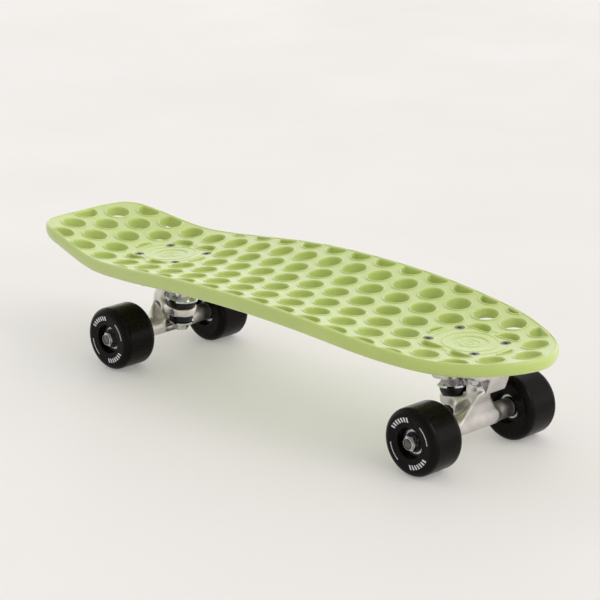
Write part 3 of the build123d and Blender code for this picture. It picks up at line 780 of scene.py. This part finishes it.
def hanger_shape(points):
    """Distance outside the cast hanger: barrel, web, ring and pivot arm."""
    x, y, z = points.T
    side = np.abs(y)
    from_axle = np.hypot(x, z - AXLE_Z)
    barrel = blend_in(from_axle - np.interp(side, BARREL_AT, BARREL_R),
                      side - HANGER_HALF_LENGTH, 1.2)
    s, away = along(points, KINGPIN_WAY)
    ring = blend_in(away - RING_R, np.abs(s) - RING_HALF_T, 2.5)
    web = blend_in(polygon(x, z, WEB_SIDE), polygon(x, y, WEB_PLAN), 2)
    web = blend_in(web, polygon(y, z, WEB_FRONT), 2.5)
    arm = polygon(*along(points, STEER_WAY), ARM_SECTION)
    found = blend_out(blend_out(barrel, web, 5), blend_out(ring, arm, 4), 4)
    over_x, over_z = x - POCKET_CENTRE[0], z - POCKET_CENTRE[2]
    u = over_x * math.cos(POCKET_LEAN) + over_z * math.sin(POCKET_LEAN)
    v = over_z * math.cos(POCKET_LEAN) - over_x * math.sin(POCKET_LEAN)
    for hand in (-1, 1):
        w = y - hand * POCKET_CENTRE[1]
        size = np.sqrt((u / POCKET_HALF[0]) ** 2 + (v / POCKET_HALF[2]) ** 2
                       + (w / POCKET_HALF[1]) ** 2)
        found = cut(found, (size - 1) * 5.0, 0.7)
    found = cut(found, away - RING_BORE_R)
    for reach, start, end in KINGPIN_ROOM:
        found = cut(found, np.maximum(away - reach, between(s, start, end)))
    return cut(found, from_axle - AXLE_R, 0.4)


def baseplate_shape(points):
    """Distance outside the baseplate: plate, kingpin boss, pivot housing and rib."""
    x, y, z = points.T
    side = np.abs(y)
    edge = np.hypot(np.maximum(np.abs(x - PLATE_X) - PLATE_HALF[0], 0),
                    np.maximum(side - PLATE_HALF[1], 0)) - PLATE_CORNER_R
    plate = blend_in(edge, between(z, PLATE_BOTTOM_Z, PLATE_TOP_Z), 1.6)
    s, away = along(points, KINGPIN_WAY)
    over = s - BOSS_S
    kingpin_x = (x - RING_CENTRE[0]) * KINGPIN_WAY[2] - (z - RING_CENTRE[2]) * KINGPIN_WAY[0]
    draft = np.clip(over, 0, 20) * BOSS_SLOPE
    u = np.abs(kingpin_x + BOSS_OFFSET) - BOSS_HALF[0] - draft + BOSS_CORNER_R
    v = side - BOSS_HALF[1] - draft + BOSS_CORNER_R
    corner = np.hypot(np.maximum(u, 0), np.maximum(v, 0)) + np.minimum(np.maximum(u, v), 0)
    boss = blend_in(corner - BOSS_CORNER_R, np.maximum(-over, z - PLATE_TOP_Z), 1.6)
    mouth = RING_CENTRE + STEER_WAY * PIVOT_MOUTH
    across = np.array([-STEER_WAY[2], 0, STEER_WAY[0]])
    low_x, _, low_z = mouth - across * HOUSING_DROP
    high_x, _, high_z = mouth + across * HOUSING_RISE
    housing = polygon(x, z, [(high_x - 1, 82), (high_x, high_z), (low_x, low_z),
                             (HOUSING_END_X, 83), (HOUSING_END_X, PLATE_TOP_Z),
                             (high_x - 1, PLATE_TOP_Z)])
    housing = blend_in(housing, side - HOUSING_HALF_WIDTH, 1.2)
    rib = polygon(x, z, [(-10, 81), (-8, 75), (high_x + 1, high_z + 0.5), (high_x + 1, 81)])
    housing = blend_out(housing, np.maximum(rib, side - RIB_HALF_WIDTH), 2)
    found = blend_out(blend_out(plate, boss, 2.5), housing, 2.5)
    found = np.maximum(found, z - PLATE_TOP_Z)
    t, out = along(points, STEER_WAY)
    for reach, start, end in PIVOT_ROOM:
        found = cut(found, np.maximum(out - reach, between(t, start, end)), 0.6)
    found = cut(found, np.maximum(away - KINGPIN_HOLE_R, -1 - over), 0.6)
    found = cut(found, np.maximum(away - KINGPIN_HEAD_R, KINGPIN_HEAD_OVER - over), 0.4)
    for hand in (-1, 1):
        bolt = np.hypot(x - PLATE_X - hand * BOLT_SPACING_X / 2, side - BOLT_SPACING_Y / 2)
        found = cut(found, bolt - BOLT_HOLE_R, 0.4)
        found = cut(found, np.maximum(bolt - NUT_ROOM_R, z - PLATE_BOTTOM_Z), 0.4)
    return found


def crossing_points(grid, field):
    """For each axis: where the field changes sign along it, from inside or not, and the points."""
    for axis in range(3):
        first = [slice(None)] * 3
        second = [slice(None)] * 3
        first[axis] = slice(0, -1)
        second[axis] = slice(1, None)
        a, b = field[tuple(first)], field[tuple(second)]
        crossed = (a < 0) != (b < 0)
        points = grid[tuple(first)].copy()
        points[..., axis] += CAST_STEP * np.where(crossed, a / np.where(a == b, 1, a - b), 0)
        yield axis, crossed, a < 0, points * crossed[..., None]


def cast(name, shape, box, side, body, node):
    """Piece of cast metal at a truck: a mesh with a point in each cell that the surface crosses."""
    axes = [np.arange(low, high, CAST_STEP) for low, high in zip(*box)]
    grid = np.stack(np.meshgrid(*axes, indexing="ij"), -1)
    field = shape(grid.reshape(-1, 3)).reshape(grid.shape[:3])
    cells = np.array(field.shape) - 1
    total = np.zeros((*cells, 3))
    count = np.zeros(cells)
    crossings = []
    for axis, crossed, inside, places in crossing_points(grid, field):
        crossings.append((axis, crossed, inside))
        u, v = [k for k in range(3) if k != axis]
        for du in (0, 1):
            for dv in (0, 1):
                part = [slice(None)] * 3
                part[u] = slice(du, du + cells[u])
                part[v] = slice(dv, dv + cells[v])
                total += places[tuple(part)]
                count += crossed[tuple(part)]
    used = count > 0
    number = np.full(cells, -1)
    number[used] = np.arange(used.sum())
    points = total[used] / count[used][:, None]
    faces = []
    for axis, crossed, inside in crossings:
        u, v = (axis + 1) % 3, (axis + 2) % 3
        where = np.argwhere(crossed)
        where = where[(where[:, u] > 0) & (where[:, u] <= cells[u] - 1)
                      & (where[:, v] > 0) & (where[:, v] <= cells[v] - 1)]
        corners = []
        for du, dv in ((-1, -1), (0, -1), (0, 0), (-1, 0)):
            cell = where.copy()
            cell[:, u] += du
            cell[:, v] += dv
            corners.append(number[tuple(cell.T)])
        quads = np.column_stack(corners)
        flip = ~inside[tuple(where.T)]
        quads[flip] = quads[flip][:, ::-1]
        faces.extend(quads.tolist())
    points[:, :2] *= side
    points[:, 0] += MIDDLE_X + side * WHEELBASE / 2
    data = bpy.data.meshes.new(name)
    data.from_pydata((points * MM).tolist(), [], faces)
    data.update()
    casting = place(name, data, 60)
    dress(casting, cast_metal)
    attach(casting, body)
    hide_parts(node)


for end, side in (("rear", -1), ("front", 1)):
    cast(f"{end}_hanger_casting", hanger_shape, HANGER_BOX, side, f"{end}_hanger", f"{end}_hanger")
    cast(f"{end}_baseplate_casting", baseplate_shape, BASEPLATE_BOX, side, "deck",
         f"{end}_baseplate")


# ---- Bushings -------------------------------------------------------------------------------
def kingpin_ring(side, s, radius, count=72):
    """Points on a circle round a truck's kingpin, this far from the ring's centre."""
    angles = np.arange(count)[:, None] * 2 * math.pi / count
    across = np.cross(KINGPIN_WAY, (0, 1, 0))
    ring = radius * (np.cos(angles) * (0, 1, 0) + np.sin(angles) * across)
    ring += RING_CENTRE + KINGPIN_WAY * s
    return ring * (side, side, 1) + (MIDDLE_X + side * WHEELBASE / 2, 0, 0)


def make_bushing(end, side, level, radius, washer_s, ring_s):
    """Barrel bushing that stands on its washer and reaches to the hanger's ring."""
    section = []
    for share in np.linspace(0, 1, 11):
        bulge = 1 - (2 * share - 1) ** 2
        section.append((share, radius - 0.8 * (1 - bulge) ** 2 + 0.5 * bulge))
    for share in (1.0, 0.75, 0.5, 0.25, 0.0):
        section.append((share, BUSHING_BORE_R + BUSHING_FLARE * share))
    shell = Shell()
    loops = []
    for share, reach in section:
        ring = kingpin_ring(side, washer_s + (ring_s - washer_s) * share, reach)
        loops.append(shell.add(ring[:, :2], ring[:, 2]))
    shell.chain(loops)
    shell.bridge(loops[-1], loops[0])
    piece = shell.mesh(f"{end}_{level}_bushing_barrel")
    dress(piece, bushing_rubber)
    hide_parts(f"{end}_{level}_bushing")
    foot, head = (kingpin_ring(side, s, 1.0).mean(axis=0) * MM for s in (washer_s, ring_s))
    tuple(foot)
    tuple(head)
    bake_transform(piece)


for end, side in (("rear", -1), ("front", 1)):
    make_bushing(end, side, "upper", UPPER_BUSHING_R, UPPER_WASHER_S - WASHER_GAP,
                 RING_HALF_T + BUSHING_GAP)
    make_bushing(end, side, "lower", LOWER_BUSHING_R, LOWER_WASHER_S + WASHER_GAP,
                 -RING_HALF_T - BUSHING_GAP)


# ---- Bolts ----------------------------------------------------------------------------------
def cross_radius(angle):
    """Distance from the centre to the edge of a bolt's cross recess."""
    c = max(abs(math.cos(angle)), 1e-6)
    s = max(abs(math.sin(angle)), 1e-6)
    return max(min(CROSS_ARM / c, CROSS_HALF_WIDTH / s), min(CROSS_ARM / s, CROSS_HALF_WIDTH / c))


def make_bolts(end, side):
    """Four countersunk bolts with cross recesses, flush with the deck, with painted shade in the
    recesses.
    """
    shell = Shell()
    count = 72
    angles = np.arange(count) * 2 * math.pi / count
    ring = np.column_stack([np.cos(angles), np.sin(angles)])
    cross = np.array([cross_radius(angle + CROSS_TURN) for angle in angles])
    for x, y in bolt_places:
        if (x > MIDDLE_X) != (side > 0):
            continue
        face = top([(x, y)])[0] - 0.15
        loops = [shell.add((x, y) + ring * (cross * share)[:, None], face - sunk)
                 for share, sunk in ((0.45, 2.0), (0.9, 0.25), (1.0, 0.02))]
        for radius, z in ((BOLT_HEAD_R - 0.5, face + 0.08), (BOLT_HEAD_R - 0.12, face - 0.05),
                          (BOLT_HEAD_R, face - 0.35), (BOLT_R, face - 2.6),
                          (BOLT_R, PAD_BOTTOM_Z)):
            loops.append(shell.add((x, y) + ring * radius, z))
        for turn in range(int((PAD_BOTTOM_Z - BOLT_END_Z) / BOLT_PITCH)):
            z = PAD_BOTTOM_Z - (turn + 0.5) * BOLT_PITCH
            loops.append(shell.add((x, y) + ring * (BOLT_R - 0.28), z))
            loops.append(shell.add((x, y) + ring * BOLT_R, z - BOLT_PITCH / 2))
        loops.append(shell.add((x, y) + ring * (BOLT_R - 0.5), BOLT_END_Z))
        shell.chain(loops)
        shell.faces.append(tuple(loops[0]))
        shell.faces.append(tuple(loops[-1]))
    bolts = shell.mesh(f"{end}_bolt_set", sharp=30)
    dress(bolts, black_oxide)
    # Second material: near-black nylon on the faces inside each cross recess, as painted shade; the
    # recess is the head's own black oxide
    bolts.data.materials.append(dark_nylon_and_recess_shade)
    for x, y in bolt_places:
        face_z = top([(x, y)])[0]
        for face in bolts.data.polygons:
            middle = face.center / MM
            in_recess = math.hypot(middle.x - x, middle.y - y) < CROSS_ARM - 0.1
            if in_recess and face_z - 2.4 < middle.z < face_z - 0.2:
                face.material_index = 1
    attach(bolts, "deck")
    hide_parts(f"{end}_truck_bolts")


make_bolts("rear", -1)
make_bolts("front", 1)


# ---- Printed marks on the wheels ------------------------------------------------------------
def arc_bar(shell, centre_x, side, radius, tall, angle, half, lean=0.0):
    """A bar bent round the wheel's axle, standing just off the wheel's face."""
    face_y = WHEEL_Y + WHEEL_HALF_WIDTH
    start, end = angle - half, angle + half
    steps = max(2, int((end - start) * radius / 0.8))
    corners = []
    for level, turn in ((-tall / 2, -lean), (tall / 2, lean)):
        angles = np.linspace(start, end, steps) + turn
        edge = np.column_stack([centre_x + (radius + level) * np.cos(angles),
                                AXLE_Z + (radius + level) * np.sin(angles)])
        corners.append(edge if level < 0 else edge[::-1])
    loop = np.vstack(corners)
    rings = []
    for lift in (-PRINT_SUNK, PRINT_THICK):
        first = len(shell.points)
        shell.points.extend([x, side * (face_y + lift), z] for x, z in loop)
        rings.append(list(range(first, len(shell.points))))
    shell.bridge(*rings)
    for i in range(steps - 1):
        for ring in rings:
            shell.faces.append((ring[i], ring[i + 1], ring[2 * steps - 2 - i],
                                ring[2 * steps - 1 - i]))


def make_print(body, centre_x, side):
    """Generic printed marks: two groups of bold bars and two fine dashed arcs."""
    shell = Shell()
    for middle in (math.radians(122), math.radians(302)):
        for bar in range(-3, 4):
            arc_bar(shell, centre_x, side, BAR_RADIUS, BAR_TALL, middle + bar * BAR_STEP, BAR_HALF,
                    BAR_LEAN)
    for middle in (math.radians(32), math.radians(212)):
        for dash in range(-6, 7):
            arc_bar(shell, centre_x, side, DASH_RADIUS, DASH_TALL, middle + dash * DASH_STEP,
                    DASH_HALF)
    marks = shell.mesh(f"{body}_print")
    dress(marks, print_ink)
    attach(marks, body)


for end, side_x in (("rear", -1), ("front", 1)):
    for hand, side_y in (("left", 1), ("right", -1)):
        make_print(f"{end}_{hand}_wheel", MIDDLE_X + side_x * WHEELBASE / 2, side_y)


# ---- Floor, light and camera ----------------------------------------------------------------
def make_floor():
    """A wide pale floor with a very slight unevenness of tone, and a faint glow of its own that
    lightens the shadows on it: painted fill light.
    """
    work = bmesh.new()
    bmesh.ops.create_grid(work, x_segments=40, y_segments=40, size=12)
    data = bpy.data.meshes.new("floor")
    work.to_mesh(data)
    work.free()
    floor = place("floor", data)
    # glow: painted fill light, a faint light of the floor's own that lightens the shadows on it
    dress(floor, surface("floor", srgb(201, 198, 195), srgb(204, 201, 198), 1.5,
                         (0.5, 0.7), 60, 0.05, specular=0.3, glow=0.235))


def make_light(name, towards, angle, power, colour):
    """Large soft light far off in one direction."""
    data = bpy.data.lights.new(name, "SUN")
    data.angle = math.radians(angle)
    data.energy = power
    data.color = colour
    light = bpy.data.objects.new(name, data)
    light.location = towards
    light.rotation_euler = (-Vector(towards)).to_track_quat("-Z", "Y").to_euler()
    bpy.context.scene.collection.objects.link(light)


def make_world():
    """Even studio light from all round, brighter near the horizon and weaker from -Y."""
    world = bpy.data.worlds.new("studio")
    bpy.context.scene.world = world
    world.use_nodes = True
    tree = world.node_tree
    background = tree.nodes["Background"]
    background.inputs["Color"].default_value = (1.0, 0.99, 0.99, 1)
    places = tree.nodes.new("ShaderNodeTexCoord")
    split = tree.nodes.new("ShaderNodeSeparateXYZ")
    tree.links.new(places.outputs["Generated"], split.inputs["Vector"])
    product = tree.nodes.new("ShaderNodeMath")
    product.operation = "MULTIPLY"
    # Strength along each axis of the direction: from one place to another, and its two values
    spans = (("Y", -0.85, 0.1, 0.48, 1.03), ("Z", 0.2, 0.95, 1.42, 0.74))
    for socket, (axis, *limits) in enumerate(spans):
        span = tree.nodes.new("ShaderNodeMapRange")
        span.interpolation_type = "SMOOTHSTEP"
        for label, value in zip(("From Min", "From Max", "To Min", "To Max"), limits):
            span.inputs[label].default_value = value
        tree.links.new(split.outputs[axis], span.inputs["Value"])
        tree.links.new(span.outputs["Result"], product.inputs[socket])
    tree.links.new(product.outputs["Value"], background.inputs["Strength"])


def make_camera():
    """Camera at the photograph's angle: from the front right, above the deck."""
    azimuth, elevation, roll = 0.803, 0.304, -0.009
    back = Vector((math.sin(azimuth) * math.cos(elevation),
                   -math.cos(azimuth) * math.cos(elevation), math.sin(elevation)))
    right = (-back).cross(Vector((0, 0, 1))).normalized()
    up = right.cross(-back)
    tilted_right = math.cos(roll) * right + math.sin(roll) * up
    tilted_up = -math.sin(roll) * right + math.cos(roll) * up
    data = bpy.data.cameras.new("camera")
    data.lens = 138.1
    data.sensor_width = 36
    camera = bpy.data.objects.new("camera", data)
    pose = Matrix((tilted_right, tilted_up, back)).transposed().to_4x4()
    pose.translation = Vector((1.4971, -1.4329, 0.7420))
    camera.matrix_world = pose
    bpy.context.scene.collection.objects.link(camera)
    bpy.context.scene.camera = camera


make_floor()
make_light("key", (1.9, 0.45, 1.9), 36, 0.72, (1, 0.985, 0.97))
make_world()
make_camera()
bpy.context.scene.view_settings.view_transform = "Standard"
